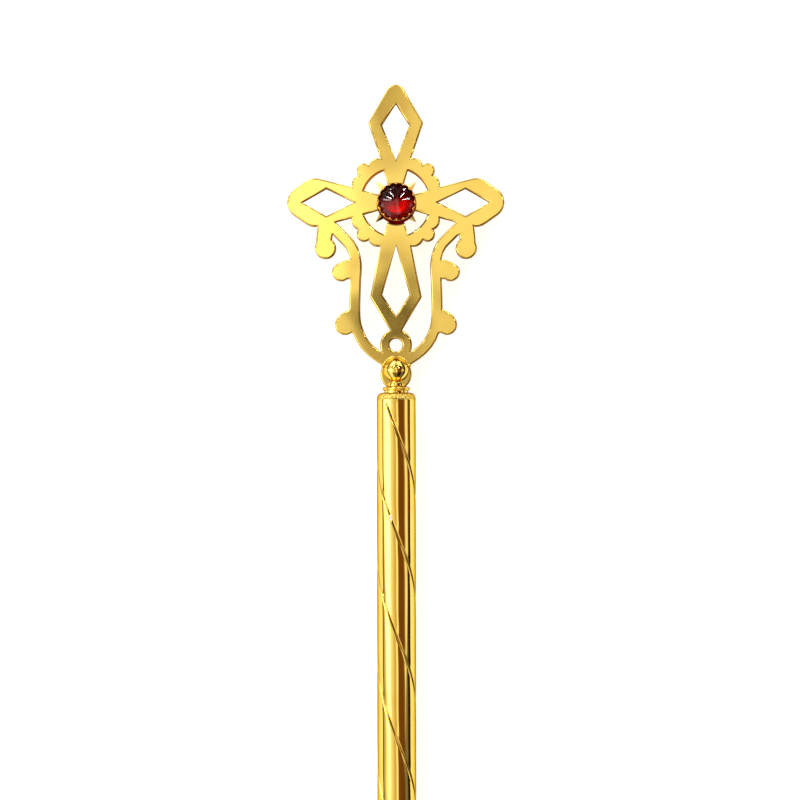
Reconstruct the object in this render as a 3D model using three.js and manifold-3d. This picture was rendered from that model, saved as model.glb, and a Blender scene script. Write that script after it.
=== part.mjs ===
// A gilt ceremonial crosier with a cross head, lying on its back with the front of the head facing up.
// Units are millimetres and +Z is up. The staff runs along Y and the head points to +Y.
import * as THREE from "three";
import { mergeVertices } from "three/addons/utils/BufferGeometryUtils.js";
import Module from "manifold-3d";

const wasm = await Module();
wasm.setup();

// Staff tube
const staffDiameter = 16;
const staffWall = 1;
const staffLength = 420;
const shoulderRadius = 2.4;
const shoulderHoleDiameter = 8.4;
const restFlatWidth = 3;

// Spiral grooves rolled into the tube
const grooveStarts = 3;
const grooveLead = 125;
const grooveFrontCrossing = 14.4;
const grooveWidth = 1.5;
const grooveDepth = 0.35;
const grooveTopMargin = 0.8;
const grooveBottomMargin = 14;
const grooveRunOut = 4;

// Turned socket that holds the head: stem, collar, neck ring and slotted ball
const stemDiameter = 7.8;
const stemLength = 14;
const collarSeatDiameter = 9.9;
const collarSeatHeight = 0.9;
const collarDiameter = 11.2;
const collarHeight = 1.5;
const collarEdge = 0.45;
const neckDiameter = 7.2;
const neckHeight = 1.75;
const waistDiameter = 4.6;
const ballDiameter = 10.8;
const ballCentreHeight = 9.4;
const slotClearance = 0.05;

// Cross plate. Distances along an arm are measured from the middle of the ring.
const plateThickness = 2.8;
const plateChamfer = 0.7;
const tabRadius = 6.45;
const tabCentreHeight = 7.5;
const tabDistance = 70.6;
const eyeAboveTab = 12;
const ringOuterRadius = 18.2;
const ringInnerRadius = 14;
const hubRadius = 5.5;
const armHalfWidthAtHub = 1.15;
const armHalfWidthAtRing = 6.35;
const armRingDistance = 18.1;
const eyeCentre = tabDistance - eyeAboveTab;
const topArm = { shoulder: 32.7, halfWidth: 11.35, shoulderRound: 0.8, reach: 19.7, tipRound: 4 };
const sideArm = { shoulder: 34.4, halfWidth: 10.5, shoulderRound: 6.6, reach: 15, tipRound: 6.4 };
const lowerArm = { shoulder: eyeCentre - 19.7, halfWidth: 10.6, shoulderRound: 1, reach: 17.8, tipRound: 1 };

// Diamond openings: where each starts, how far its waist lies inside the arm's shoulder, and its end wall.
const topDiamond = { near: 17.4, waistInside: 0.9, halfWidth: 5.6, endWall: 11.9 };
const sideDiamond = { near: 17, waistInside: 5.8, halfWidth: 5.6, endWall: 10.9 };
const lowerDiamond = { near: 17.6, waistInside: 1, halfWidth: 5.6, endWall: 10.2 };

// Lobes of the scalloped ring, three in each quarter
const middleLobe = { fromDiagonal: 0, centre: 18.5, radius: 3 };
const sideLobe = { fromDiagonal: 17.4, centre: 15.9, radius: 4.05 };

// Right scroll, with x across and y up: its upper run from the ring's middle, its lower run from the tab's.
// Its upper end and the hook grow out of the side arm, so they are placed from that arm's shoulder.
const scrollWidth = 4.5;
const scrollUpperRun = [
  [sideArm.shoulder - 4.4, -6.1],
  [22.3, -13.7],
  [18.1, -18.4],
  [16.3, -25],
  [16.6, -32],
];
const scrollLowerRun = [
  [16.9, 25.1],
  [15.9, 18.6],
  [13.4, 13.1],
  [9.4, 8.9],
  [3.3, 4.8],
];
const hookLine = [
  [sideArm.shoulder - 6.8, -5],
  [sideArm.shoulder - 5.2, -12],
  [sideArm.shoulder - 4.8, -18],
];
const hookWidth = 6.5;
const hookEnd = { x: sideArm.shoulder - 5.45, y: -18.8, radius: 4.4 };
const upperBud = { x: 22.5, y: -28.5, radius: 3.85, top: -23.2, bottom: -31.4 };
const lowerBud = { x: 21, y: 20.3, radius: 4.15, top: 27.1, bottom: 16.4 };
const budRoot = 17.2;
const eyeRadius = 6.6;
const eyeHoleRadius = 2.65;

// Stone, its crown setting and the four-rayed star behind it
const stoneDiameter = 14.4;
const stoneFacets = 16;
const stoneCrownHeight = 2.5;
const stoneBeltHeight = 0.5;
const stonePavilionDepth = 3.4;
const stoneTableShare = 0.72;
const cupBaseDiameter = 16.3;
const cupRimDiameter = 15.6;
const cupWall = 0.55;
const cupFloor = 0.4;
const clawCount = 16;
const clawReach = 0.5;
const clawHeight = 1.4;
const clawNotchDiameter = 1.9;
const starTip = 11.8;
const starWaist = 4.6;
const starEdge = 0.5;
const starHeight = 1.2;
const starPeak = 3.2;

// The setting is soldered on by hand, a little right of the ring's middle and below it
const settingAside = 0.3;
const settingDrop = 0.9;

// End plug that closes the foot of the staff
const plugClearance = 0.1;
const plugSpigotLength = 12;
const plugFlangeInset = 0.35;
const plugFlangeHeight = 2;
const plugDomeHeight = 4.5;
const plugButtonRadius = 3.2;
const plugButtonCut = 60;

// Face-to-face gap between pieces that touch
const seatGap = 0.05;

// Facets: how finely round shapes are divided
const roundSegments = 28;
const arcStep = 15;
const ringStep = 7.5;
const leastSpacing = 0.12;
const rowsPerTurn = 16;
const landColumns = 5;

const staffRadius = staffDiameter / 2;
const boreRadius = staffRadius - staffWall;
const plateFront = plateThickness / 2;
const headCentreHeight = tabCentreHeight + tabDistance;
const neckFoot = collarSeatHeight + collarHeight;
const degrees = THREE.MathUtils.degToRad;

const gilt = new THREE.MeshStandardMaterial({ color: 0xf2c14a, metalness: 1, roughness: 0.12 });
const darkGilt = new THREE.MeshStandardMaterial({ color: 0xc98a35, metalness: 1, roughness: 0.2 });
const redGlass = new THREE.MeshStandardMaterial({ color: 0xa3060c, metalness: 0.1, roughness: 0.03 });

// Turns a closed geometry into a solid that can be joined and cut.
function solidOf(geometry) {
  const bare = geometry.clone();
  bare.deleteAttribute("normal");
  bare.deleteAttribute("uv");
  const merged = mergeVertices(bare, 1e-4);
  return new wasm.Manifold(
    new wasm.Mesh({
      numProp: 3,
      vertProperties: new Float32Array(merged.attributes.position.array),
      triVerts: new Uint32Array(merged.index.array),
    }),
  );
}

// Turns a solid back into a geometry for a mesh.
function geometryOf(solid) {
  const mesh = solid.getMesh();
  const geometry = new THREE.BufferGeometry();
  geometry.setAttribute("position", new THREE.BufferAttribute(new Float32Array(mesh.vertProperties), 3));
  geometry.setIndex(new THREE.BufferAttribute(new Uint32Array(mesh.triVerts), 1));
  geometry.computeVertexNormals();
  return geometry;
}

function join(solids) {
  return solids.reduce((whole, piece) => whole.add(piece));
}

// Points on an arc, with the angles in degrees.
function arc(x, y, radius, from, to, step = arcStep) {
  const count = Math.max(1, Math.ceil(Math.abs(to - from) / step));
  return Array.from({ length: count + 1 }, (_, i) => {
    const angle = degrees(from + ((to - from) * i) / count);
    return new THREE.Vector2(x + radius * Math.cos(angle), y + radius * Math.sin(angle));
  });
}

function circle(x, y, radius, step = arcStep) {
  return arc(x, y, radius, 0, 360, step).slice(0, -1);
}

// A polygon whose corners [x, y, radius] are rounded by arcs.
function roundedPolygon(corners) {
  return corners.flatMap(([x, y, radius], i) => {
    const corner = new THREE.Vector2(x, y);
    const before = new THREE.Vector2(...corners.at(i - 1).slice(0, 2)).sub(corner).normalize();
    const after = new THREE.Vector2(...corners[(i + 1) % corners.length].slice(0, 2)).sub(corner).normalize();
    if (!radius) return [corner];
    const halfAngle = Math.acos(THREE.MathUtils.clamp(before.dot(after), -1, 1)) / 2;
    const middle = before.clone().add(after).normalize();
    const centre = corner.clone().addScaledVector(middle, radius / Math.sin(halfAngle));
    const back = radius / Math.tan(halfAngle);
    const start = corner.clone().addScaledVector(before, back).sub(centre).angle();
    const end = corner.clone().addScaledVector(after, back).sub(centre).angle();
    const turn = THREE.MathUtils.euclideanModulo(end - start + Math.PI, 2 * Math.PI) - Math.PI;
    const from = THREE.MathUtils.radToDeg(start);
    return arc(centre.x, centre.y, radius, from, from + THREE.MathUtils.radToDeg(turn));
  });
}

// A band of even width along a smooth line.
function ribbon(line, width) {
  const curve = new THREE.SplineCurve(line.map(([x, y]) => new THREE.Vector2(x, y)));
  const steps = Math.round(curve.getLength() / 3);
  const sides = [1, -1].map((side) =>
    Array.from({ length: steps + 1 }, (_, i) => {
      const tangent = curve.getTangentAt(i / steps);
      const normal = new THREE.Vector2(-tangent.y, tangent.x);
      return curve.getPointAt(i / steps).addScaledVector(normal, (side * width) / 2);
    }),
  );
  return [...sides[0], ...sides[1].reverse()];
}

// Swaps the sides of an outline, for the left half of the head.
function mirrored(points) {
  return points.map((p) => new THREE.Vector2(-p.x, p.y)).reverse();
}

// Turns an outline drawn for the upward arm by an angle in degrees.
function turned(points, angle) {
  const middle = new THREE.Vector2();
  return points.map((p) => p.clone().rotateAround(middle, degrees(angle)));
}

// A flat slab that stands for an outline while the outlines are joined and cut.
function slab(points, beyond = 0) {
  const geometry = new THREE.ExtrudeGeometry(new THREE.Shape(points), {
    depth: 1 + 2 * beyond,
    bevelEnabled: false,
  });
  geometry.translate(0, 0, -beyond);
  return solidOf(geometry);
}

// The closed lines round the top face of a slab: anticlockwise outside, clockwise round the openings.
function topLoops(solid) {
  const mesh = solid.getMesh();
  const point = (v) => new THREE.Vector2(mesh.vertProperties[3 * v], mesh.vertProperties[3 * v + 1]);
  const onTop = (v) => mesh.vertProperties[3 * v + 2] > 0.999;
  const edges = new Set();
  for (let i = 0; i < mesh.triVerts.length; i += 3) {
    const corners = [...mesh.triVerts.slice(i, i + 3)];
    if (!corners.every(onTop)) continue;
    corners.forEach((from, side) => {
      const to = corners[(side + 1) % 3];
      if (!edges.delete(`${to} ${from}`)) edges.add(`${from} ${to}`);
    });
  }
  const next = new Map([...edges].map((edge) => edge.split(" ").map(Number)));
  const loops = [];
  while (next.size) {
    const loop = [];
    let v = next.keys().next().value;
    while (next.has(v)) {
      const following = next.get(v);
      next.delete(v);
      loop.push(point(v));
      v = following;
    }
    loops.push(loop);
  }
  return loops.map(withoutCrowding).filter((loop) => loop.length > 2);
}

// Drops points that crowd their neighbour and points in the middle of a straight line.
function withoutCrowding(loop) {
  const spaced = loop.filter((p, i) => p.distanceTo(loop.at(i - 1)) > leastSpacing);
  return spaced.filter((p, i) => {
    const before = p.clone().sub(spaced.at(i - 1)).normalize();
    const after = spaced[(i + 1) % spaced.length].clone().sub(p).normalize();
    return Math.abs(before.cross(after)) > 1e-3;
  });
}

// A plate with chamfered edges, centred on the staff's axis, from its outline and openings.
function chamferedPlate(loops) {
  const isOutside = (loop) => THREE.ShapeUtils.area(loop) > 0;
  const shape = new THREE.Shape(loops.find(isOutside));
  shape.holes = loops.filter((loop) => !isOutside(loop)).map((loop) => new THREE.Path(loop));
  const geometry = new THREE.ExtrudeGeometry(shape, {
    depth: plateThickness - 2 * plateChamfer,
    bevelThickness: plateChamfer,
    bevelSize: plateChamfer,
    bevelOffset: -plateChamfer,
    bevelSegments: 1,
  });
  geometry.translate(0, 0, plateChamfer - plateThickness / 2);
  return solidOf(geometry);
}

// One arm of the cross, drawn upwards from the middle of the ring.
function armOutline(arm) {
  return roundedPolygon([
    [armHalfWidthAtHub, 0, 0],
    [armHalfWidthAtRing, armRingDistance, 0],
    [arm.halfWidth, arm.shoulder, arm.shoulderRound],
    [0, arm.shoulder + arm.reach, arm.tipRound],
    [-arm.halfWidth, arm.shoulder, arm.shoulderRound],
    [-armHalfWidthAtRing, armRingDistance, 0],
    [-armHalfWidthAtHub, 0, 0],
  ]);
}

function diamondOutline(arm, { near, waistInside, halfWidth, endWall }) {
  const waist = arm.shoulder - waistInside;
  const far = arm.shoulder + arm.reach - endWall;
  return [
    [0, near],
    [halfWidth, waist],
    [0, far],
    [-halfWidth, waist],
  ].map(([x, y]) => new THREE.Vector2(x, y));
}

// Each arm with the angle that turns it into place.
const arms = [
  { arm: topArm, diamond: topDiamond, angle: 0 },
  { arm: sideArm, diamond: sideDiamond, angle: 90 },
  { arm: lowerArm, diamond: lowerDiamond, angle: 180 },
  { arm: sideArm, diamond: sideDiamond, angle: -90 },
];

// The scalloped ring: three lobes in each quarter.
function scallopedRing() {
  const lobes = [45, 135, 225, 315].flatMap((diagonal) =>
    [sideLobe, middleLobe, sideLobe].map((lobe, i) => {
      const angle = degrees(diagonal + (i - 1) * lobe.fromDiagonal);
      return slab(circle(lobe.centre * Math.cos(angle), lobe.centre * Math.sin(angle), lobe.radius));
    }),
  );
  const disc = slab(circle(0, 0, ringOuterRadius, ringStep));
  return join([disc, ...lobes]).subtract(slab(circle(0, 0, ringInnerRadius, ringStep), 1));
}

// A bud on the outer side of the right scroll: a knob whose upper edge sweeps out from the bar.
function budOutline({ x, y, radius, top, bottom }) {
  const sweep = new THREE.CubicBezierCurve(
    new THREE.Vector2(budRoot, top),
    new THREE.Vector2((budRoot + x) / 2, top),
    new THREE.Vector2(x + radius, (top + y) / 2 + radius / 4),
    new THREE.Vector2(x + radius, y),
  );
  const knob = arc(x, y, radius, 0, -130);
  return [...sweep.getPoints(7).slice(0, -1), ...knob, new THREE.Vector2(budRoot, bottom)];
}

// The tab that drops into the ball's slot: a disc cut off flat above the collar.
function tabOutline() {
  const foot = neckFoot + seatGap;
  const cut = THREE.MathUtils.radToDeg(Math.asin((foot - tabCentreHeight) / tabRadius));
  return arc(0, -tabDistance, tabRadius, cut, 180 - cut);
}

function crossPlate() {
  const fromTab = ([x, y]) => [x, y - tabDistance];
  const lowerBudPlaced = {
    ...lowerBud,
    y: lowerBud.y - tabDistance,
    top: lowerBud.top - tabDistance,
    bottom: lowerBud.bottom - tabDistance,
  };
  const scrollHalf = [
    ribbon([...scrollUpperRun, ...scrollLowerRun.map(fromTab)], scrollWidth),
    ribbon(hookLine, hookWidth),
    circle(hookEnd.x, hookEnd.y, hookEnd.radius),
    budOutline(upperBud),
    budOutline(lowerBudPlaced),
  ];
  const outlines = [
    ...arms.map(({ arm, angle }) => turned(armOutline(arm), angle)),
    ...scrollHalf,
    ...scrollHalf.map(mirrored),
    circle(0, 0, hubRadius),
    circle(0, -eyeCentre, eyeRadius),
    tabOutline(),
  ];
  const openings = [
    ...arms.map(({ arm, diamond, angle }) => turned(diamondOutline(arm, diamond), angle)),
    circle(0, -eyeCentre, eyeHoleRadius),
  ];
  const whole = join([scallopedRing(), ...outlines.map((points) => slab(points))]);
  const pierced = whole.subtract(join(openings.map((points) => slab(points, 1))));
  return chamferedPlate(topLoops(pierced)).translate(0, headCentreHeight, 0);
}

function lathe(profile, segments = roundSegments) {
  return new THREE.LatheGeometry(
    profile.map(([radius, height]) => new THREE.Vector2(radius, height)),
    segments,
  );
}

// A box between two corners.
function block(low, high) {
  const size = new THREE.Vector3(...high).sub(new THREE.Vector3(...low));
  const geometry = new THREE.BoxGeometry(size.x, size.y, size.z);
  geometry.translate(low[0] + size.x / 2, low[1] + size.y / 2, low[2] + size.z / 2);
  return solidOf(geometry);
}

// The outer skin of the tube as rows of points that follow the grooves' twist, closed by flat ends.
function groovedRod() {
  const helixTilt = Math.atan((Math.PI * staffDiameter) / grooveLead);
  const grooveAngle = grooveWidth / Math.cos(helixTilt) / staffRadius;
  const startAngle = (2 * Math.PI) / grooveStarts;
  const landStep = (startAngle - grooveAngle) / (landColumns + 1);
  const columns = Array.from({ length: grooveStarts }, (_, start) => [
    { angle: start * startAngle, depth: grooveDepth },
    { angle: start * startAngle + grooveAngle / 2, depth: 0 },
    ...Array.from({ length: landColumns }, (_, i) => ({
      angle: start * startAngle + grooveAngle / 2 + (i + 1) * landStep,
      depth: 0,
    })),
    { angle: (start + 1) * startAngle - grooveAngle / 2, depth: 0 },
  ]).flat();

  const grooveTop = -shoulderRadius - grooveTopMargin;
  const grooveBottom = -staffLength + grooveBottomMargin;
  const rowCount = Math.round(((grooveTop - grooveBottom) / grooveLead) * rowsPerTurn);
  const rows = [
    { y: -staffLength, radius: staffRadius, share: 0 },
    ...Array.from({ length: rowCount + 1 }, (_, i) => {
      const y = grooveBottom + ((grooveTop - grooveBottom) * i) / rowCount;
      const fromEnd = Math.min(y - grooveBottom, grooveTop - y);
      return { y, radius: staffRadius, share: Math.min(1, fromEnd / grooveRunOut) };
    }),
    ...[0, 30, 60, 90].map((angle) => ({
      y: -shoulderRadius + shoulderRadius * Math.sin(degrees(angle)),
      radius: staffRadius - shoulderRadius + shoulderRadius * Math.cos(degrees(angle)),
      share: 0,
    })),
  ];

  const points = rows.flatMap(({ y, radius, share }) =>
    columns.map(({ angle, depth }) => {
      const around = angle - (2 * Math.PI * (y + grooveFrontCrossing)) / grooveLead;
      const r = radius - depth * share;
      return [r * Math.sin(around), y, r * Math.cos(around)];
    }),
  );
  const faces = [];
  const ring = columns.length;
  for (let row = 0; row < rows.length - 1; row++) {
    for (let i = 0; i < ring; i++) {
      const a = row * ring + i;
      const b = row * ring + ((i + 1) % ring);
      faces.push([a, b, b + ring], [a, b + ring, a + ring]);
    }
  }
  const foot = points.push([0, -staffLength, 0]) - 1;
  const top = points.push([0, 0, 0]) - 1;
  const lastRow = (rows.length - 1) * ring;
  for (let i = 0; i < ring; i++) {
    const next = (i + 1) % ring;
    faces.push([foot, next, i], [top, lastRow + i, lastRow + next]);
  }
  const geometry = new THREE.BufferGeometry();
  geometry.setAttribute("position", new THREE.Float32BufferAttribute(points.flat(), 3));
  geometry.setIndex(faces.flat());
  return solidOf(geometry);
}

function staffTube() {
  const beyond = 1;
  const bore = lathe([
    [0, -staffLength - beyond],
    [boreRadius, -staffLength - beyond],
    [boreRadius, -shoulderRadius - staffWall],
    [shoulderHoleDiameter / 2, -staffWall * 1.6],
    [shoulderHoleDiameter / 2, beyond],
    [0, beyond],
  ]);
  const flat = block(
    [-staffRadius, -staffLength - beyond, -staffRadius - beyond],
    [staffRadius, beyond, -axisHeight],
  );
  return groovedRod().subtract(solidOf(bore)).subtract(flat);
}

// The lowest points of the staff are cut back to a narrow flat, so the axis is this high when it lies down.
const axisHeight = Math.sqrt(staffRadius ** 2 - (restFlatWidth / 2) ** 2);

function headSocket() {
  const ballRadius = ballDiameter / 2;
  const neckTop = neckFoot + neckHeight;
  const waistAngle = THREE.MathUtils.radToDeg(Math.asin(waistDiameter / 2 / ballRadius)) - 90;
  const ball = arc(0, ballCentreHeight, ballRadius, waistAngle, 90).map((p) => [Math.max(p.x, 0), p.y]);
  ball[ball.length - 1][0] = 0;
  const body = lathe([
    [0, -stemLength],
    [stemDiameter / 2 - collarEdge, -stemLength],
    [stemDiameter / 2, -stemLength + collarEdge],
    [stemDiameter / 2, seatGap],
    [collarSeatDiameter / 2, seatGap],
    [collarSeatDiameter / 2, collarSeatHeight],
    [collarDiameter / 2, collarSeatHeight + collarEdge],
    [collarDiameter / 2, neckFoot - collarEdge],
    [collarDiameter / 2 - collarEdge, neckFoot],
    [neckDiameter / 2, neckFoot],
    [neckDiameter / 2, neckTop],
    [waistDiameter / 2, neckTop],
    ...ball,
  ]);
  const slotHalf = plateFront + slotClearance;
  const slot = block(
    [-ballDiameter, neckFoot, -slotHalf],
    [ballDiameter, ballCentreHeight + ballDiameter, slotHalf],
  );
  return solidOf(body).subtract(slot);
}

// Stands a turned piece up on the plate's front, where the setting is soldered.
function onHead(solid, height) {
  return solid.rotate([90, 0, 0]).translate(settingAside, headCentreHeight - settingDrop, height);
}

const starBase = plateFront + seatGap;
const cupBase = starBase + starHeight + seatGap;
const cupHeight = cupFloor + stonePavilionDepth + stoneBeltHeight + clawHeight;
const stoneFoot = cupBase + cupFloor + seatGap;

// A four-rayed star with a ridge along each ray, cut flat where the cup stands on it.
function starMount() {
  const outline = Array.from({ length: 8 }, (_, i) => {
    const angle = degrees(45 * i);
    const reach = i % 2 ? starTip : starWaist;
    return [reach * Math.cos(angle), reach * Math.sin(angle)];
  });
  const points = [
    ...outline.map(([x, y]) => [x, y, 0]),
    ...outline.map(([x, y]) => [x, y, starEdge]),
    [0, 0, 0],
    [0, 0, starPeak],
  ];
  const faces = outline.flatMap((_, i) => {
    const next = (i + 1) % 8;
    return [
      [i, next, 8 + next],
      [i, 8 + next, 8 + i],
      [16, next, i],
      [17, 8 + i, 8 + next],
    ];
  });
  const geometry = new THREE.BufferGeometry();
  geometry.setAttribute("position", new THREE.Float32BufferAttribute(points.flat(), 3));
  geometry.setIndex(faces.flat());
  const top = block([-starTip, -starTip, starHeight], [starTip, starTip, starPeak + 1]);
  return solidOf(geometry).subtract(top).translate(0, headCentreHeight, starBase);
}

// The crown cup: a thin wall whose notched rim leans in over the stone as claws.
function crownCup() {
  const base = cupBaseDiameter / 2;
  const rim = cupRimDiameter / 2;
  const bend = cupHeight - clawHeight;
  const body = lathe(
    [
      [0, 0],
      [base, 0],
      [rim, bend],
      [rim - clawReach * 0.35, bend + clawHeight * 0.6],
      [rim - clawReach, cupHeight],
      [rim - clawReach - cupWall * 0.6, cupHeight - cupWall * 0.4],
      [rim - clawReach * 0.4 - cupWall, bend + clawHeight * 0.5],
      [rim - cupWall, bend],
      [base - cupWall, cupFloor],
      [0, cupFloor],
    ],
    clawCount * 2,
  );
  const notches = Array.from({ length: clawCount }, (_, i) => {
    const notch = new THREE.CylinderGeometry(clawNotchDiameter / 2, clawNotchDiameter / 2, base * 2, 6);
    notch.translate(0, base, 0);
    notch.rotateZ(-Math.PI / 2);
    notch.rotateY(((i + 0.5) * 2 * Math.PI) / clawCount);
    notch.translate(0, cupHeight - clawHeight * 0.3, 0);
    return solidOf(notch);
  });
  return onHead(solidOf(body).subtract(join(notches)), cupBase);
}

// The cut stone: a pointed crown of facets over a belt, and a pointed back.
function redStone() {
  const radius = stoneDiameter / 2;
  const belt = stonePavilionDepth;
  const facets = lathe(
    [
      [0, 0],
      [radius, belt],
      [radius, belt + stoneBeltHeight],
      [radius * stoneTableShare, belt + stoneBeltHeight + stoneCrownHeight * 0.5],
      [0, belt + stoneBeltHeight + stoneCrownHeight],
    ],
    stoneFacets,
  );
  return onHead(solidOf(facets), stoneFoot);
}

function endPlug() {
  const flange = axisHeight - plugFlangeInset;
  const spigot = boreRadius - plugClearance;
  const top = -staffLength - seatGap;
  const domeFoot = top - plugFlangeHeight;
  const dome = [20, 45, 65].map((angle) => [
    flange * Math.cos(degrees(angle)),
    domeFoot - plugDomeHeight * Math.sin(degrees(angle)),
  ]);
  const buttonCentre = domeFoot - plugDomeHeight - plugButtonRadius * 0.5;
  const button = arc(0, 0, plugButtonRadius, 40, -plugButtonCut, 25).map((p) => [p.x, buttonCentre + p.y]);
  const profile = [
    [0, top + plugSpigotLength],
    [spigot - 1, top + plugSpigotLength],
    [spigot, top + plugSpigotLength - 1],
    [spigot, top],
    [flange, top],
    [flange, domeFoot],
    ...dome,
    ...button,
    [0, buttonCentre - plugButtonRadius * Math.sin(degrees(plugButtonCut))],
  ];
  return solidOf(lathe(profile.reverse()));
}

const crosier = new THREE.Group();
const headTop = headCentreHeight + topArm.shoulder + topArm.reach - topArm.tipRound * tipShortening(topArm);
const plugFoot =
  staffLength + seatGap + plugFlangeHeight + plugDomeHeight +
  plugButtonRadius * (0.5 + Math.sin(degrees(plugButtonCut)));
crosier.position.set(0, (plugFoot - headTop) / 2, axisHeight);

// How far a rounded tip falls short of its sharp corner, as a share of the rounding's radius.
function tipShortening(arm) {
  const halfAngle = Math.atan(arm.halfWidth / arm.reach);
  return 1 / Math.sin(halfAngle) - 1;
}

function add(name, solid, material) {
  const mesh = new THREE.Mesh(geometryOf(solid), material);
  mesh.name = name;
  crosier.add(mesh);
}

add("staff_tube", staffTube(), gilt);
add("head_socket", headSocket(), gilt);
add("cross_plate", crossPlate(), gilt);
add("star_mount", starMount(), gilt);
add("crown_cup", crownCup(), darkGilt);
add("red_stone", redStone(), redGlass);
add("end_plug", endPlug(), gilt);

export default crosier;
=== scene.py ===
from math import asin, atan, atan2, cos, degrees, exp, pi, radians, sin, tan

import bmesh
import bpy
from mathutils import Matrix, Vector


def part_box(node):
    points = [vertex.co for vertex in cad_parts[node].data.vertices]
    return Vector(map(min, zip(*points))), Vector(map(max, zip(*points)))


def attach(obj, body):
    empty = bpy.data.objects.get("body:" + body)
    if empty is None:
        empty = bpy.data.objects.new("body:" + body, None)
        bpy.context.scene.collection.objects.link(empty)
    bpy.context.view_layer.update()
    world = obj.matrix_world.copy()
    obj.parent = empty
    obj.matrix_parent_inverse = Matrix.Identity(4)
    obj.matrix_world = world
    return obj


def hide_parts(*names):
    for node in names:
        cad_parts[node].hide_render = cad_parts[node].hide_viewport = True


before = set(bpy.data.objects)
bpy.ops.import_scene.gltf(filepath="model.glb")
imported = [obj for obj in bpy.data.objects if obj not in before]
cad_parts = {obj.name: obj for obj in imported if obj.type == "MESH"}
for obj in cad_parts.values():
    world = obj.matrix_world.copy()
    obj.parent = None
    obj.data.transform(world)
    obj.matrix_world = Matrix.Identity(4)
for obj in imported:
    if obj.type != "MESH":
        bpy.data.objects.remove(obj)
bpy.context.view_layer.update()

# Staff tube.
# A drawn metal tube, gold plated to a mirror, with three spiral grooves rolled into it.
# Its top edge is rolled in to a round shoulder, which leaves fine wrinkles in the metal there.
mm = 0.001
tube_low, tube_high = [Vector(corner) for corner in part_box("staff_tube")]
tube_radius = (tube_high.x - tube_low.x) / 2
tube_wall = 1 * mm
tube_top = tube_high.y
tube_foot = tube_low.y
axis_height = tube_high.z - tube_radius
shoulder_radius = 2.4 * mm
shoulder_steps = 8
shoulder_hole_radius = 4.2 * mm
rolled_lip = 1.6 * mm
groove_starts = 3
groove_lead = 125 * mm
groove_front_crossing = 14.4 * mm
groove_left = 0.66 * mm
groove_right = 0.34 * mm
groove_depth = 0.4 * mm
groove_dip = 0.07 * mm
groove_dip_reach = 2.0 * mm
groove_fade = 2.5 * mm
groove_top_gap = 0.3 * mm
groove_foot_gap = 14 * mm
columns_per_start = 30
rows_per_turn = 96
wrinkles_start = tube_top - 2.4 * mm
wrinkles_end = tube_top - 0.5 * mm
wrinkles_soft = 0.4 * mm
gold_colour = (1.0, 0.70, 0.15, 1)
gold_tarnish = (0.93, 0.60, 0.10, 1)
edge_gold = (0.30, 0.13, 0.03, 1)


class Shade:
    """An output socket of a shader tree, on which sums are written as plain Python."""

    def __init__(self, tree, socket=None):
        self.tree = tree
        self.socket = socket

    def node(self, kind, settings, inputs, out=0):
        """Adds a node of a kind, with its settings and the values or links of its sockets."""
        made = self.tree.nodes.new("ShaderNode" + kind)
        for name, value in settings.items():
            if name == "stops":
                ramp = made.color_ramp
                while len(ramp.elements) < len(value):
                    ramp.elements.new(1)
                for stop, (place, colour) in zip(ramp.elements, value):
                    stop.position = place
                    stop.color = colour
            else:
                setattr(made, name, value)
        for name, value in inputs.items():
            if isinstance(value, Shade):
                self.tree.links.new(value.socket, made.inputs[name])
            else:
                made.inputs[name].default_value = value
        return Shade(self.tree, made.outputs[out]) if made.outputs else self

    def sum(self, operation, *values):
        """Works out one sum on these values."""
        return self.node("Math", {"operation": operation}, dict(enumerate(values)))

    def __add__(self, other):
        return self.sum("ADD", self, other)

    def __radd__(self, other):
        return self.sum("ADD", other, self)

    def __sub__(self, other):
        return self.sum("SUBTRACT", self, other)

    def __rsub__(self, other):
        return self.sum("SUBTRACT", other, self)

    def __mul__(self, other):
        return self.sum("MULTIPLY", self, other)

    def __rmul__(self, other):
        return self.sum("MULTIPLY", other, self)

    def span(self, low, high, to_low=0.0, to_high=1.0):
        """Runs smoothly from to_low to to_high as this value goes from low to high."""
        values = {0: self, 1: low, 2: high, 3: to_low, 4: to_high}
        return self.node("MapRange", {"interpolation_type": "SMOOTHSTEP"}, values)


def blank_material(name):
    """A material with an empty tree, as (material, shade)."""
    material = bpy.data.materials.new(name)
    material.use_nodes = True
    material.node_tree.nodes.clear()
    return material, Shade(material.node_tree)


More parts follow.
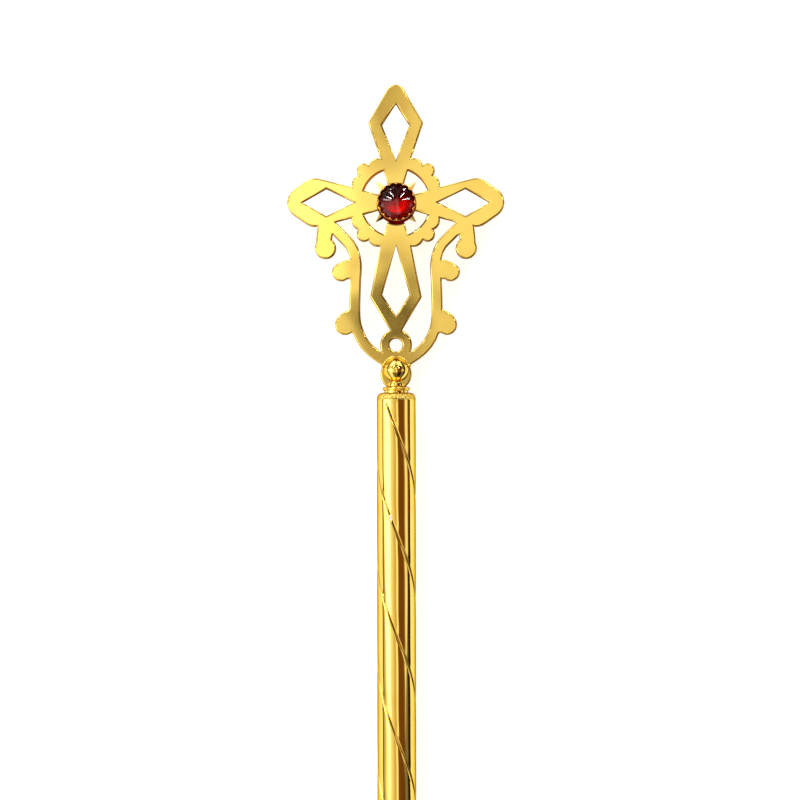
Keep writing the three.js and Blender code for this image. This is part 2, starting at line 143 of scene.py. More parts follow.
def polished_gold(name, colour, tarnish, roughness, wrinkles=None, wall_shade_colour=None):
    """Mirror gold plate: faint clouding, polish hairs, a slightly uneven surface, and walls and steep edges
    darkened with a brown, which is painted shade along with some of their rougher finish.
    """
    clouds_per_metre = 60
    cloud_roughness = 0.05
    swells_per_metre = 45
    swell_height = 0.12 * mm
    hairs_per_metre = 1500
    hair_height = 0.0006 * mm
    hair_roughness = 0.03
    wrinkles_per_metre = 1300
    wrinkle_height = 0.7 * mm
    wrinkle_roughness = 0.12
    wall_roughness = 0.12
    material, shade = blank_material(name)
    place = shade.node("TexCoord", {}, {}, out="Object")
    cloud = shade.node("TexNoise", {}, {"Vector": place, "Scale": clouds_per_metre, "Detail": 3})
    hairs = shade.node("TexNoise", {}, {"Vector": place, "Scale": hairs_per_metre, "Detail": 2})
    swell = shade.node("TexNoise", {}, {"Vector": place, "Scale": swells_per_metre, "Detail": 1})
    tint = cloud.span(0.42, 0.72, 0, 0.5)
    base = shade.node("Mix", {"data_type": "RGBA"}, {"Factor": tint, 6: colour, 7: tarnish}, out=2)
    rough = roughness + cloud_roughness * tint + hair_roughness * hairs
    relief = swell * swell_height + hairs * hair_height
    if wrinkles:
        start, end, soft = wrinkles
        along = shade.node("SeparateXYZ", {}, {0: place}, out="Y")
        mask = along.span(start - soft, start) * along.span(end, end + soft, 1, 0)
        values = {"Vector": place, "Scale": wrinkles_per_metre, "Detail": 2, "Distortion": 0.6}
        relief = relief + shade.node("TexNoise", {}, values) * mask * wrinkle_height
        rough = rough + wrinkle_roughness * mask
    if wall_shade_colour:
        # Painted shade: walls and the steep parts of the rounded edges, picked out by how steeply they face,
        # are mixed towards a dark brown; a little of it stands for their rougher, less polished finish.
        facing = shade.node("TexCoord", {}, {}, out="Normal")
        level = shade.sum("ABSOLUTE", shade.node("SeparateXYZ", {}, {0: facing}, out="Z"))
        wall = level.span(0.2, 0.85, 1, 0) * cloud.span(0.3, 0.6, 0.75, 1)
        base = shade.node("Mix", {"data_type": "RGBA"}, {"Factor": wall, 6: base, 7: wall_shade_colour}, out=2)
        rough = rough + wall_roughness * wall
    bump = shade.node("Bump", {}, {"Strength": 1, "Distance": 1, "Height": relief})
    values = {
        "Base Color": base,
        "Metallic": 1,
        "Specular Tint": edge_gold,
        "Roughness": rough,
        "Normal": bump,
    }
    shade.node("OutputMaterial", {}, {"Surface": shade.node("BsdfPrincipled", {}, values)})
    return material


def finish(name, mesh, material, nodes, crease=radians(35)):
    """Makes a piece of a finished bmesh, which rides on the whole and stands for its CAD nodes."""
    data = bpy.data.meshes.new(name)
    mesh.to_mesh(data)
    mesh.free()
    data.materials.append(material)
    data.shade_smooth()
    data.set_sharp_from_angle(angle=crease)
    piece = bpy.data.objects.new(name, data)
    bpy.context.scene.collection.objects.link(piece)
    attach(piece, "root")
    if nodes:
        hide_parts(*nodes)
    return piece


def verts_of(made):
    """The new corners that an extrusion has made."""
    return [part for part in made["geom"] if isinstance(part, bmesh.types.BMVert)]


def edges_among(verts):
    """The edges that join these corners to one another."""
    found = set(verts)
    return list({edge for vert in verts for edge in vert.link_edges if edge.other_vert(vert) in found})


def draw_ring_along(mesh, edges, radius, path):
    """Extrudes a round ring of edges about the staff's axis through (radius, y) points."""
    for next_radius, y in path:
        verts = verts_of(bmesh.ops.extrude_edge_only(mesh, edges=edges))
        centre = Vector((0, verts[0].co.y, axis_height))
        factor = next_radius / radius
        bmesh.ops.scale(mesh, vec=(factor, 1, factor), verts=verts, space=Matrix.Translation(-centre))
        bmesh.ops.translate(mesh, vec=(0, y - centre.y, 0), verts=verts)
        radius = next_radius
        edges = edges_among(verts)
    return edges


def skin_depth(away):
    """How far the tube's skin lies inside its radius, at a distance to the right of a groove's bottom."""
    wall = groove_right if away > 0 else groove_left
    groove = groove_depth * max(0, 1 - abs(away) / wall) ** 1.1
    return groove + groove_dip * exp(-((away / groove_dip_reach) ** 2))


def groove_strength(y):
    """1 along the grooves, and 0 where they have run out near the tube's ends."""
    from_top = tube_top - shoulder_radius - groove_top_gap - y
    from_foot = y - tube_foot - groove_foot_gap
    share = max(0, min(1, from_top / groove_fade, from_foot / groove_fade))
    return share * share * (3 - 2 * share)


def groove_turn(y):
    """The angle round the tube, from the front, that the first groove has reached at y."""
    return -2 * pi * (y - tube_top + groove_front_crossing) / groove_lead


start_angle = 2 * pi / groove_starts
groove_lean = cos(atan(2 * pi * tube_radius / groove_lead))
groove_angle = groove_left / groove_lean / tube_radius
land_angle = start_angle - 2 * groove_angle
in_groove = [groove_angle * share for share in (-1, -0.65, -0.3, 0, 0.25, 0.5, 0.75, 1)]
on_land = [groove_angle + land_angle * i / columns_per_start for i in range(1, columns_per_start)]
columns = [start * start_angle + angle for start in range(groove_starts) for angle in in_groove + on_land]

straight = tube_top - shoulder_radius - tube_foot
row_count = round(straight / groove_lead * rows_per_turn)
foot_centre = Vector((0, tube_foot, axis_height))

tube = bmesh.new()
foot_verts = []
for column in columns:
    angle = column + groove_turn(tube_foot)
    foot_verts.append(tube.verts.new(foot_centre + tube_radius * Vector((sin(angle), 0, cos(angle)))))
foot_edges = [tube.edges.new((foot_verts[i - 1], foot_verts[i])) for i in range(len(foot_verts))]
bmesh.ops.spin(
    tube,
    geom=foot_verts + foot_edges,
    cent=foot_centre,
    axis=(0, 1, 0),
    dvec=(0, straight / row_count, 0),
    angle=groove_turn(tube_foot + straight) - groove_turn(tube_foot),
    steps=row_count,
)
for vert in tube.verts:
    around = atan2(vert.co.x, vert.co.z - axis_height)
    angle = (around - groove_turn(vert.co.y) + start_angle / 2) % start_angle - start_angle / 2
    depth = skin_depth(angle * tube_radius * groove_lean) * groove_strength(vert.co.y)
    radius = tube_radius - depth
    vert.co = Vector((radius * sin(around), vert.co.y, axis_height + radius * cos(around)))

shoulder = []
for i in range(1, shoulder_steps + 1):
    rise = radians(90 * i / shoulder_steps)
    rolled_in = shoulder_radius * (1 - cos(rise))
    below_top = shoulder_radius * (1 - sin(rise))
    shoulder.append((tube_radius - rolled_in, tube_top - below_top))
inside = [
    (shoulder_hole_radius, tube_top),
    (shoulder_hole_radius, tube_top - rolled_lip),
    (tube_radius - tube_wall, tube_top - shoulder_radius - tube_wall),
    (tube_radius - tube_wall, tube_foot),
]
open_edges = [edge for edge in tube.edges if edge.is_boundary]
foot_ring = [edge for edge in open_edges if edge.verts[0].co.y < tube_foot + mm]
top_ring = [edge for edge in open_edges if edge.verts[0].co.y > tube_foot + mm]
bore_foot = draw_ring_along(tube, top_ring, tube_radius, shoulder + inside)
bmesh.ops.bridge_loops(tube, edges=bore_foot + foot_ring)
for vert in tube.verts:
    vert.co.z = max(vert.co.z, 0)
bmesh.ops.recalc_face_normals(tube, faces=tube.faces)

wrinkles = (wrinkles_start, wrinkles_end, wrinkles_soft)
tube_gold = polished_gold("gilt_tube", gold_colour, gold_tarnish, 0.035, wrinkles)
finish("grooved_tube", tube, tube_gold, ["staff_tube"], crease=radians(50))

# Head socket.
# A small turned casting: a stem down into the tube, a two-step collar, a short neck and a ball.
# A slot is sawn across the ball, and the head plate's round tab is soldered into it.
collar_height = 2.65 * mm
collar_radius = 5.6 * mm
collar_seat_radius = 4.95 * mm
neck_radius = 3.6 * mm
neck_top = 4.15 * mm
neck_round = 0.3 * mm
waist_radius = 2.3 * mm
ball_radius = 5.4 * mm
ball_height = 9.4 * mm
slot_half = 1.45 * mm
stem_radius = 3.9 * mm
stem_length = 14 * mm
rim_round = 0.72 * mm
collar_slope_radius = 4.1 * mm
collar_slope_drop = 0.15 * mm
neck_sunk = 0.2 * mm
seat_gap = 0.05 * mm


def turned_solid(profile, steps=72):
    """A closed solid turned about the staff's axis from (radius, y) points that start and end on it."""
    mesh = bmesh.new()
    verts = [mesh.verts.new((radius, y, axis_height)) for radius, y in profile]
    edges = [mesh.edges.new(pair) for pair in zip(verts, verts[1:])]
    bmesh.ops.spin(
        mesh,
        geom=verts + edges,
        cent=(0, 0, axis_height),
        axis=(0, 1, 0),
        angle=2 * pi,
        steps=steps,
        use_merge=True,
    )
    bmesh.ops.remove_doubles(mesh, verts=mesh.verts, dist=0.001 * mm)
    bmesh.ops.recalc_face_normals(mesh, faces=mesh.faces)
    return mesh


def round_edge(radius, y, size, from_angle, to_angle, steps=5):
    """Points round a rolled edge whose middle is at (radius, y)."""
    angles = [radians(from_angle + (to_angle - from_angle) * i / steps) for i in range(steps + 1)]
    return [(radius + size * cos(angle), y + size * sin(angle)) for angle in angles]


collar_foot = tube_top + seat_gap
collar_top = tube_top + collar_height
rim_middle = tube_top + 1.55 * mm
collar = turned_solid(
    [
        (0, tube_top - stem_length),
        (stem_radius, tube_top - stem_length),
        (stem_radius, collar_foot),
        (collar_seat_radius, collar_foot),
        (collar_seat_radius, rim_middle - rim_round),
        *round_edge(collar_radius - rim_round, rim_middle, rim_round, -90, 60, 8),
        (collar_slope_radius, collar_top - collar_slope_drop),
        (neck_radius, collar_top),
        (0, collar_top),
    ]
)

waist_angle = degrees(asin(waist_radius / ball_radius)) - 90
ball_middle = tube_top + ball_height
halves = turned_solid(
    [
        (0, collar_top - neck_sunk),
        (neck_radius, collar_top - neck_sunk),
        *round_edge(neck_radius - neck_round, tube_top + neck_top - neck_round, neck_round, 0, 90),
        (waist_radius, tube_top + neck_top),
        *round_edge(0, ball_middle, ball_radius, waist_angle, 89, 24),
        (0, ball_middle + ball_radius),
    ]
)
cut = bmesh.ops.bisect_plane(
    halves,
    geom=halves.verts[:] + halves.edges[:] + halves.faces[:],
    plane_co=(0, 0, axis_height + slot_half),
    plane_no=(0, 0, 1),
    clear_inner=True,
)
cut_edges = [part for part in cut["geom_cut"] if isinstance(part, bmesh.types.BMEdge)]
bmesh.ops.edgeloop_fill(halves, edges=cut_edges)
bmesh.ops.mirror(
    halves,
    geom=halves.verts[:] + halves.edges[:] + halves.faces[:],
    matrix=Matrix.Translation((0, 0, -axis_height)),
    merge_dist=0,
    axis="Z",
)
bmesh.ops.recalc_face_normals(halves, faces=halves.faces)
halves_data = bpy.data.meshes.new("ball_halves")
halves.to_mesh(halves_data)
halves.free()
collar.from_mesh(halves_data)
bpy.data.meshes.remove(halves_data)

casting_gold = polished_gold("gilt_casting", gold_colour, gold_tarnish, 0.06)
finish("slotted_ball_socket", collar, casting_gold, ["head_socket"], crease=radians(40))

# Solder bead.
# The silver solder that fixes the plate in the ball's slot, gilt over. It runs round the top of the
# ball on the plate's front and ends in a small blob at each side.
bead_radius = 0.6 * mm
bead_path_radius = 5.15 * mm
bead_widening = 1.0 * mm
bead_sweep = radians(142)
bead_start = (pi - bead_sweep) / 2
bead_lift = 0.18 * mm
blob_radius = 0.84 * mm
blob_shift = 0.55 * mm
plate_front_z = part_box("cross_plate")[1][2]

bead = bmesh.new()
bmesh.ops.create_circle(bead, cap_ends=True, radius=bead_radius, segments=16)
bmesh.ops.rotate(bead, cent=(0, 0, 0), matrix=Matrix.Rotation(pi / 2, 3, "X"), verts=bead.verts)
bmesh.ops.translate(bead, vec=(bead_path_radius, 0, 0), verts=bead.verts)
bmesh.ops.spin(bead, geom=bead.faces[:], cent=(0, 0, 0), axis=(0, 0, 1), angle=bead_sweep, steps=36)
bmesh.ops.rotate(bead, cent=(0, 0, 0), matrix=Matrix.Rotation(bead_start, 3, "Z"), verts=bead.verts)
for vert in bead.verts:
    sideways = abs(vert.co.x) / (abs(vert.co.x) + abs(vert.co.y))
    vert.co.x *= 1 + bead_widening / bead_path_radius * sideways**2
    vert.co.z *= 1 + 0.8 * max(0, sideways - 0.6)
for side in (-1, 1):
    blob_x = side * (bead_path_radius * cos(bead_start) + blob_shift)
    blob_place = Matrix.Translation((blob_x, bead_path_radius * sin(bead_start), 0))
    bmesh.ops.create_icosphere(bead, subdivisions=3, radius=blob_radius, matrix=blob_place)
bmesh.ops.translate(bead, vec=(0, ball_middle, plate_front_z + bead_lift), verts=bead.verts)
bmesh.ops.recalc_face_normals(bead, faces=bead.faces)
finish("solder_bead", bead, casting_gold, [], crease=radians(60))

# Cross plate.
# One flat openwork casting, polished and gilt: four arms with diamond openings, a scalloped ring,
# two scrolls with buds, an eye and a round tab. Polishing has rounded all its edges.
plate_low, plate_high = [Vector(corner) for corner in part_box("cross_plate")]
plate_middle = (plate_low.z + plate_high.z) / 2
flat_foot = plate_high.z - 0.1 * mm
merge_reach = 0.002 * mm
edge_steps = 6
# Painted shade: the dark brown that is laid on the plate's walls and rounded edges.
painted_wall_shade = (0.20, 0.075, 0.012, 1)


def merged_copy(node):
    """A copy of a CAD node's mesh, with its loose triangles joined up."""
    mesh = bmesh.new()
    mesh.from_mesh(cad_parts[node].data)
    bmesh.ops.remove_doubles(mesh, verts=mesh.verts, dist=merge_reach)
    return mesh


def across_chamfer(vert):
    """The step from a corner at the top of the plate's wall to its own corner of the flat front."""
    inward = Vector()
    for face in vert.link_faces:
        if abs(face.normal.z) < 0.1:
            inward -= face.normal
    around = [edge.other_vert(vert) for edge in vert.link_edges]
    steps = [other.co - vert.co for other in around if other.co.z > flat_foot]
    return max(steps, key=lambda step: step.xy.normalized().dot(inward.xy.normalized()))


plate = merged_copy("cross_plate")
edge_ring = [
    edge for edge in plate.edges
    if plate_middle < edge.verts[0].co.z < flat_foot
    and abs(edge.verts[0].co.z - edge.verts[1].co.z) < merge_reach / 2
]
steps_in = {vert: across_chamfer(vert) for edge in edge_ring for vert in edge.verts}
wall_places = {vert: vert.co.copy() for vert in steps_in}
unwanted = [face for face in plate.faces if face.normal.z < 0.9]
bmesh.ops.delete(plate, geom=unwanted, context="FACES_ONLY")
loose = [edge for edge in plate.edges if not edge.link_faces and edge not in set(edge_ring)]
bmesh.ops.delete(plate, geom=loose, context="EDGES")
for vert in verts_of(bmesh.ops.extrude_edge_only(plate, edges=edge_ring)):
    vert.co.z = plate_middle
for i in range(1, edge_steps + 1):
    turn = radians(90 * i / edge_steps)
    verts = verts_of(bmesh.ops.extrude_edge_only(plate, edges=edge_ring))
    before = {
        vert: next(edge.other_vert(vert) for edge in vert.link_edges if edge.other_vert(vert) in steps_in)
        for vert in verts
    }
    inwards = 1 - cos(turn)
    for vert in verts:
        step = steps_in[before[vert]]
        place = wall_places[before[vert]]
        steps_in[vert] = step
        wall_places[vert] = place
        vert.co = place + Vector((step.x * inwards, step.y * inwards, step.z * sin(turn)))
    edge_ring = edges_among(verts)
bmesh.ops.remove_doubles(plate, verts=plate.verts, dist=merge_reach)
bmesh.ops.mirror(
    plate,
    geom=plate.verts[:] + plate.edges[:] + plate.faces[:],
    matrix=Matrix.Translation((0, 0, -plate_middle)),
    merge_dist=merge_reach / 2,
    axis="Z",
)
bmesh.ops.recalc_face_normals(plate, faces=plate.faces)
plate_gold = polished_gold("plate_gold", gold_colour, gold_tarnish, 0.06, wall_shade_colour=painted_wall_shade)
cross = finish("openwork_cross", plate, plate_gold, ["cross_plate"], crease=radians(50))
for face in cross.data.polygons:
    face.use_smooth = abs(face.normal.z) < 0.999

# Star mount.
# A small die-struck star with four ridged rays, soldered to the plate behind the stone's cup.
red_gold = (0.98, 0.60, 0.17, 1)
red_gold_tarnish = (0.85, 0.42, 0.10, 1)
star_gold = polished_gold("gilt_setting", red_gold, red_gold_tarnish, 0.1)
star_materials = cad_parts["star_mount"].data.materials
star_materials.clear()
star_materials.append(star_gold)

# Crown cup.
# A thin drawn cup soldered on the star, with a scalloped rim whose claws are pressed in over the stone.
cup_low, cup_high = [Vector(corner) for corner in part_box("crown_cup")]
cup_middle = (cup_low + cup_high) / 2
cup_height = cup_high.z - cup_low.z
cup_radius = (cup_high.x - cup_low.x) / 2
cup_rim_radius = cup_radius - 0.3 * mm
cup_wall = 0.32 * mm
claw_count = 16
claw_height = 1.1 * mm
claw_lean = 0.4 * mm
claw_bead_radius = 0.42 * mm
claw_rows = 5
claw_gap_depth = 0.8
claw_gap_lean = 0.35
# Painted light: the cup's rim and claws, down to this height, keep the lighter gold of the star.
lit_rim_height = 0.75 * mm
points_per_claw = 8
cup_foot = Vector((cup_middle.x, cup_middle.y, cup_low.z))

cup = bmesh.new()
bmesh.ops.create_circle(
    cup,
    cap_ends=True,
    radius=cup_radius,
    segments=claw_count * points_per_claw,
    matrix=Matrix.Translation(cup_foot),
)
ring = [edge for edge in cup.edges if edge.is_boundary]
for i in range(claw_rows + 1):
    rise = i / claw_rows
    verts = verts_of(bmesh.ops.extrude_edge_only(cup, edges=ring))
    for vert in verts:
        angle = atan2(vert.co.y - cup_foot.y, vert.co.x - cup_foot.x)
        claw = abs(cos(angle * claw_count / 2)) ** 0.7
        lean = claw_lean * rise**2 * (claw_gap_lean + (1 - claw_gap_lean) * claw)
        across = cup_rim_radius - lean
        up = cup_height - claw_height + claw_height * rise * (1 - claw_gap_depth * (1 - claw))
        vert.co = cup_foot + Vector((across * cos(angle), across * sin(angle), up))
    ring = edges_among(verts)
bmesh.ops.recalc_face_normals(cup, faces=cup.faces)
bmesh.ops.solidify(cup, geom=cup.faces[:], thickness=cup_wall)
bmesh.ops.recalc_face_normals(cup, faces=cup.faces)
tip_radius = cup_rim_radius - claw_lean - cup_wall / 2
tip_height = cup_height - claw_bead_radius
for i in range(claw_count):
    angle = 2 * pi * i / claw_count
    tip = cup_foot + Vector((tip_radius * cos(angle), tip_radius * sin(angle), tip_height))
    tip_place = Matrix.Translation(tip)
    bmesh.ops.create_icosphere(cup, subdivisions=2, radius=claw_bead_radius, matrix=tip_place)
# Painted shade: the cup below its rim is a dark brown copy of the setting's gold, as though in shadow, while
# the claws' tops keep the lighter gold.
cup_shade_brown = (0.32, 0.09, 0.02, 1)
shaded_cup_tarnish = (0.18, 0.04, 0.01, 1)
shaded_cup_gold = polished_gold("painted_shade_setting", cup_shade_brown, shaded_cup_tarnish, 0.16)
claw_cup = finish("claw_cup", cup, shaded_cup_gold, ["crown_cup"], crease=radians(50))
claw_cup.data.materials.append(star_gold)
for face in claw_cup.data.polygons:
    face.material_index = 1 if face.center.z > cup_high.z - lit_rim_height else 0

# Red stone.
# A round cut glass stone, held by the cup's claws: a sloped crown that ends in a low rounded point at
# the front, a belt, and a pointed back under a foil, which is painted dark towards the head as shade.
stone_red = (0.80, 0.002, 0.006, 1)
foil_colour = (1.0, 0.40, 0.35, 1)
# Painted shade: the foil's colour where it is darkened towards the head.
shaded_foil_colour = (0.10, 0.02, 0.03, 1)

stone_low, stone_high = [Vector(corner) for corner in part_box("red_stone")]
stone_middle = (stone_low + stone_high) / 2
glass, shade = blank_material("red_glass")
values = {
    "Base Color": stone_red,
    "Roughness": 0.015,
    "IOR": 1.52,
    "Transmission Weight": 1.0,
    "Specular IOR Level": 0.22,
}
shade.node("OutputMaterial", {}, {"Surface": shade.node("BsdfPrincipled", {}, values)})
foil, shade = blank_material("stone_foil")
place = shade.node("TexCoord", {}, {}, out="Object")
# Painted shade: the foil is mixed towards a dark colour towards the head, so that the stone's upper half
# looks shaded.
from_middle = shade.node("SeparateXYZ", {}, {0: place}, out="Y") - stone_middle.y
foil_shade = from_middle.span(-1.5 * mm, 2.5 * mm)
tint = shade.node("Mix", {"data_type": "RGBA"}, {"Factor": foil_shade, 6: foil_colour, 7: shaded_foil_colour}, out=2)
values = {"Base Color": tint, "Roughness": 0.42, "Metallic": 1.0}
shade.node("OutputMaterial", {}, {"Surface": shade.node("BsdfPrincipled", {}, values)})

stone_clearance = 0.02 * mm
stone_radius = (stone_high.x - stone_low.x) / 2 - stone_clearance
belt_height = 3.4 * mm
belt_thickness = 0.5 * mm
crown_rise = stone_high.z - stone_low.z - belt_height - belt_thickness
crown_break = 0.74
crown_break_height = 0.52
point_radius = 2.4 * mm
point_slope = radians(14)
stone_columns = 128

stone = bmesh.new()
foot = stone.verts.new((0, 0, 0))
belt = stone.verts.new((stone_radius, 0, belt_height))
bmesh.ops.spin(
    stone,
    geom=[foot, belt, stone.edges.new((foot, belt))],
    cent=(0, 0, 0),
    axis=(0, 0, 1),
    angle=2 * pi,
    steps=stone_columns,
    use_merge=True,
)
rim = [edge for edge in stone.edges if edge.is_boundary]
belt_top = belt_height + belt_thickness
break_radius = stone_radius * crown_break
break_height = belt_top + crown_rise * crown_break_height
point_height = break_height + (break_radius - point_radius) * tan(point_slope)
point_curve = point_radius / sin(point_slope)
curve_middle = point_height - point_curve * cos(point_slope)
crown = [(stone_radius, belt_top), (break_radius, break_height), (point_radius, point_height)]
for share in (0.8, 0.6, 0.4, 0.2, 0.05):
    slope = point_slope * share
    crown.append((point_curve * sin(slope), curve_middle + point_curve * cos(slope)))
radius = stone_radius
for next_radius, height in crown:
    verts = verts_of(bmesh.ops.extrude_edge_only(stone, edges=rim))
    factor = next_radius / radius
    bmesh.ops.scale(stone, vec=(factor, factor, 1), verts=verts)
    for vert in verts:
        vert.co.z = height
    radius = next_radius
    rim = edges_among(verts)
bmesh.ops.pointmerge(stone, verts=verts, merge_co=(0, 0, height))
bmesh.ops.remove_doubles(stone, verts=stone.verts, dist=0.001 * mm)
bmesh.ops.recalc_face_normals(stone, faces=stone.faces)
for face in stone.faces:
    face.material_index = 1 if face.normal.z < -0.2 else 0
bmesh.ops.translate(stone, vec=(stone_middle.x, stone_middle.y, stone_low.z), verts=stone.verts)
red_stone = finish("cut_red_stone", stone, glass, ["red_stone"], crease=radians(12))
red_stone.data.materials.append(foil)

# End plug.
# A plain turned plug with a domed end and a small button, pushed into the foot of the tube.
plug_low, plug_high = [Vector(corner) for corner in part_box("end_plug")]
plug_radius = (plug_high.x - plug_low.x) / 2
spigot_radius = 6.9 * mm
spigot_chamfer = 1 * mm
flange_top = tube_foot - seat_gap
flange_foot = flange_top - 2 * mm
dome_height = 4.5 * mm
button_radius = 3.2 * mm
button_middle = flange_foot - dome_height - button_radius / 2
button_end = radians(-60)
flange_round = 0.4 * mm
dome = [
    (plug_radius * cos(radians(angle)), flange_foot - dome_height * sin(radians(angle)))
    for angle in range(5, 66, 5)
]
plug = turned_solid(
    [
        (0, plug_high.y),
        (spigot_radius - spigot_chamfer, plug_high.y),
        (spigot_radius, plug_high.y - spigot_chamfer),
        (spigot_radius, flange_top),
        *round_edge(plug_radius - flange_round, flange_top - flange_round, flange_round, 90, 0),
        (plug_radius, flange_foot),
        *dome,
        *round_edge(0, button_middle, button_radius, 40, degrees(button_end), 10),
        (0, button_middle + button_radius * sin(button_end)),
    ]
)
finish("foot_plug", plug, tube_gold, ["end_plug"])

# Floor.
# A wide white acrylic sheet that the crosier lies on, lit a little from below to lift the shadows.
floor_half_width = 3
floor_mesh = bmesh.new()
bmesh.ops.create_grid(floor_mesh, x_segments=1, y_segments=1, size=floor_half_width)
floor_data = bpy.data.meshes.new("floor")
floor_mesh.to_mesh(floor_data)
floor_mesh.free()
floor_paint, shade = blank_material("pale_floor")
values = {
    "Base Color": (0.55, 0.55, 0.55, 1),
    "Roughness": 0.9,
    "Specular IOR Level": 0.1,
    "Emission Color": (1, 1, 1, 1),
    "Emission Strength": 0.75,
}
shade.node("OutputMaterial", {}, {"Surface": shade.node("BsdfPrincipled", {}, values)})
floor_data.materials.append(floor_paint)
floor = bpy.data.objects.new("floor", floor_data)
bpy.context.scene.collection.objects.link(floor)

# Studio light.
# Long soft boxes run beside the staff. The unlit room between them shows as warm brown bands in the gold.
# A large panel hangs over the head, with a dark patch where the camera stands. Each band is an angle
# in degrees to the side of straight up, and how bright the light is there.
side_bands = [
    (-180, 0.7),
    (-140, 0.5),
    (-126, 0.85),
    (-113, 0.7),
    (-102, 0.4),
    (-84, 0.4),
    (-79, 1.5),
    (-70, 2.0),
    (-60, 3.6),
    (-42, 3.6),
    (-33, 1.1),
    (-20, 0.9),
    (-10, 0.7),
    (-4, 0.6),
    (1, 1.15),
    (8, 1.15),
    (12, 0.18),
    (40, 0.16),
    (49, 0.3),
    (56, 1.1),
    (67, 1.0),
    (73, 0.25),
    (80, 0.13),
    (101, 0.13),
    (108, 0.3),
    (126, 0.34),
    (134, 0.6),
    (155, 0.8),
    (180, 0.7),
]
brightest = 3.6
room_brown = (0.5, 1.2)
panel_brown = (0.2, 0.45)
bands_dim = 0.25
foot_dim_left = 0.35
foot_dim_right = 0.2


def light_colour(level, green_fall, blue_fall):
    """One light as a share of the brightest: the dimmer it is, the more it has the room's warm brown."""
    dim = min(1, level)
    parts = [level, level * dim**green_fall, level * dim**blue_fall]
    return [part / brightest for part in parts] + [1]


def from_ramp(fac, stops):
    """The light that a ramp of stops gives, at its full brightness."""
    ramp = shade.node("ValToRGB", {"stops": stops}, {"Fac": fac})
    return shade.node("VectorMath", {"operation": "SCALE"}, {0: ramp, "Scale": brightest})


world = bpy.data.worlds.new("studio")
world.use_nodes = True
world.node_tree.nodes.clear()
bpy.context.scene.world = world
shade = Shade(world.node_tree)
toward = shade.node("TexCoord", {}, {}, out="Generated")
across = shade.node("SeparateXYZ", {}, {0: toward}, out="X")
along = shade.node("SeparateXYZ", {}, {0: toward}, out="Y")
upward = shade.node("SeparateXYZ", {}, {0: toward}, out="Z")
side_turn = shade.sum("ARCTAN2", across, upward) * (180 / pi)
head_turn = shade.sum("ARCTAN2", along, upward) * (180 / pi)
aside = shade.sum("ABSOLUTE", side_turn)
stops = [(angle / 360 + 0.5, light_colour(level, *room_brown)) for angle, level in side_bands]
bands = from_ramp(side_turn * (1 / 360) + 0.5, stops)
past_foot = side_turn.span(-45, -20, foot_dim_left, foot_dim_right)
bands_reach = head_turn.span(-30, -21, past_foot, 1) * head_turn.span(3, 16, 1, bands_dim)
bands = shade.node("VectorMath", {"operation": "SCALE"}, {0: bands, "Scale": bands_reach})

# The panel over the head, as seen in the flat front of the cross. It is dark in the patch round the
# camera, brighter to the left, and dimmer at its foot end and in the middle of its far end.
panel_end = 17
panel_half_width = 8
panel_middle_light = 0.9
panel_edge_gain = 0.15
panel_left_gain = 0.75
panel_far_loss = 0.32
panel_foot_share = 0.4
panel_steps = 8
patch_head = 4.4
patch_side = -0.4
patch_length_share = 0.85
patch_light = 0.03
patch_along = (head_turn - patch_head) * patch_length_share
patch_across = side_turn - patch_side
from_patch = shade.sum("SQRT", patch_across * patch_across + patch_along * patch_along)
left_gain = side_turn.span(-4, -1, panel_left_gain, 0) * head_turn.span(3, 7)
far_loss = head_turn.span(10.5, 13, 0, panel_far_loss) * side_turn.span(-0.6, 0.6, 1.9, 0.6)
panel_level = from_patch.span(1.25, 2.25, patch_light, panel_middle_light)
panel_level = panel_level + from_patch.span(2.4, 4, 0, panel_edge_gain)
panel_level = panel_level + left_gain - far_loss * aside.span(1.5, 3, 1, 0)
panel_level = panel_level * head_turn.span(1.2, 2.6, panel_foot_share, 1)
panel_shares = [i / panel_steps for i in range(panel_steps + 1)]
stops = [(share, light_colour(brightest * share, *panel_brown)) for share in panel_shares]
panel = from_ramp(panel_level * (1 / brightest), stops)
in_panel = head_turn.span(0, 1) * head_turn.span(panel_end, panel_end + 4, 1, 0)
in_panel = in_panel * aside.span(panel_half_width, panel_half_width + 2, 1, 0)
light = shade.node("Mix", {"data_type": "RGBA"}, {"Factor": in_panel, 6: bands, 7: panel}, out=2)

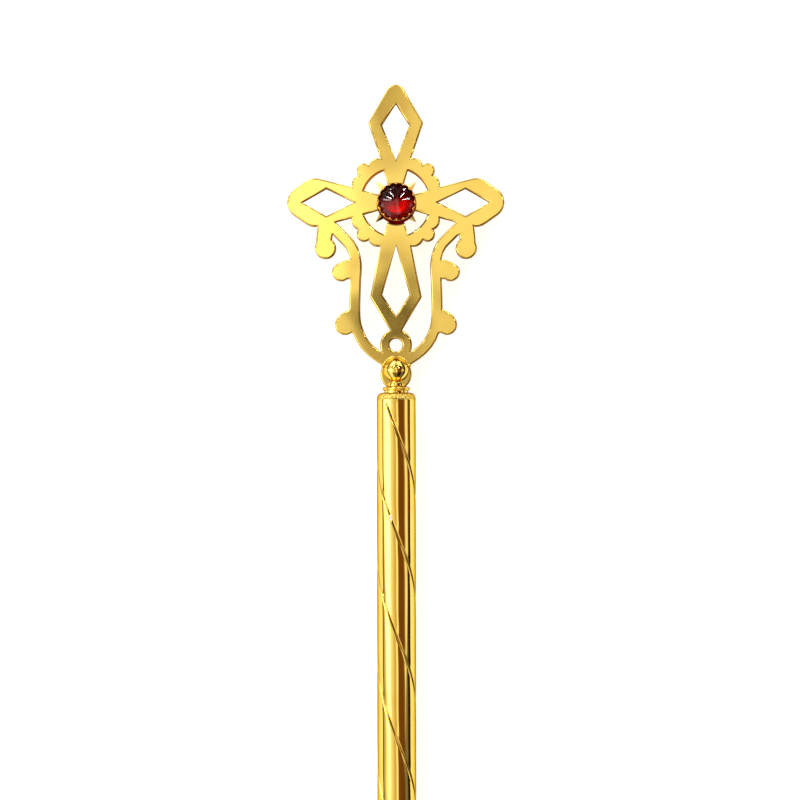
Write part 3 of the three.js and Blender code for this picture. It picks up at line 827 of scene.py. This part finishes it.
# A wide box past the head shines into the stone, dimmer in its middle. Small lamps round it draw the
# stone's white dashes. Each lamp is an angle to the side, an angle towards the head, and its light.
box_middle_light = 0.5
box_side_light = 2.8
box_reach = head_turn.span(38, 48) * head_turn.span(70, 80, 1, 0) * aside.span(50, 65, 1, 0)
white_light = box_reach * aside.span(8, 24, box_middle_light, box_side_light)
lamps = [
    (-16.9, 32.3, 32),
    (19.3, 30.2, 32),
    (-24.7, 23.0, 22),
    (26.9, 17.6, 22),
    (-27.4, 15.7, 9),
    (-62.5, 78.8, 20),
    (66.0, 78.0, 20),
]
lamp_reach = 2.3
for lamp_side, lamp_head, lamp_light in lamps:
    off_side = side_turn - lamp_side
    off_head = head_turn - lamp_head
    from_lamp = shade.sum("SQRT", off_side * off_side + off_head * off_head)
    white_light = white_light + from_lamp.span(lamp_reach * 0.7, lamp_reach, lamp_light, 0)
white_light = shade.node("CombineXYZ", {}, {0: white_light, 1: white_light, 2: white_light})
light = shade.node("VectorMath", {"operation": "ADD"}, {0: light, 1: white_light})
background = shade.node("Background", {}, {"Color": light, "Strength": 1.0})
shade.node("OutputWorld", {}, {"Surface": background})

# Camera.
# It looks straight down on the crosier, with the staff's upper end in the middle of the picture.
# The focal length and the two offsets are in pixels of a picture 800 pixels wide.
photo_pixels = 800
sensor_width = 36
pixel_size = 0.4113 * mm
focal_pixels = 1150
star_low, star_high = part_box("star_mount")
head_middle_y = (star_low[1] + star_high[1]) / 2
head_above_middle = 197.3
staff_left_of_middle = 3.8
camera_roll = radians(0.095)

camera_data = bpy.data.cameras.new("camera")
camera_data.sensor_width = sensor_width
camera_data.lens = sensor_width * focal_pixels / photo_pixels
camera_data.clip_start = 0.01
camera = bpy.data.objects.new("camera", camera_data)
bpy.context.scene.collection.objects.link(camera)
camera.location = (
    staff_left_of_middle * pixel_size,
    head_middle_y - head_above_middle * pixel_size,
    axis_height + focal_pixels * pixel_size,
)
camera.rotation_euler = (0, 0, -camera_roll)
bpy.context.scene.camera = camera
bpy.context.scene.view_settings.view_transform = "Standard"
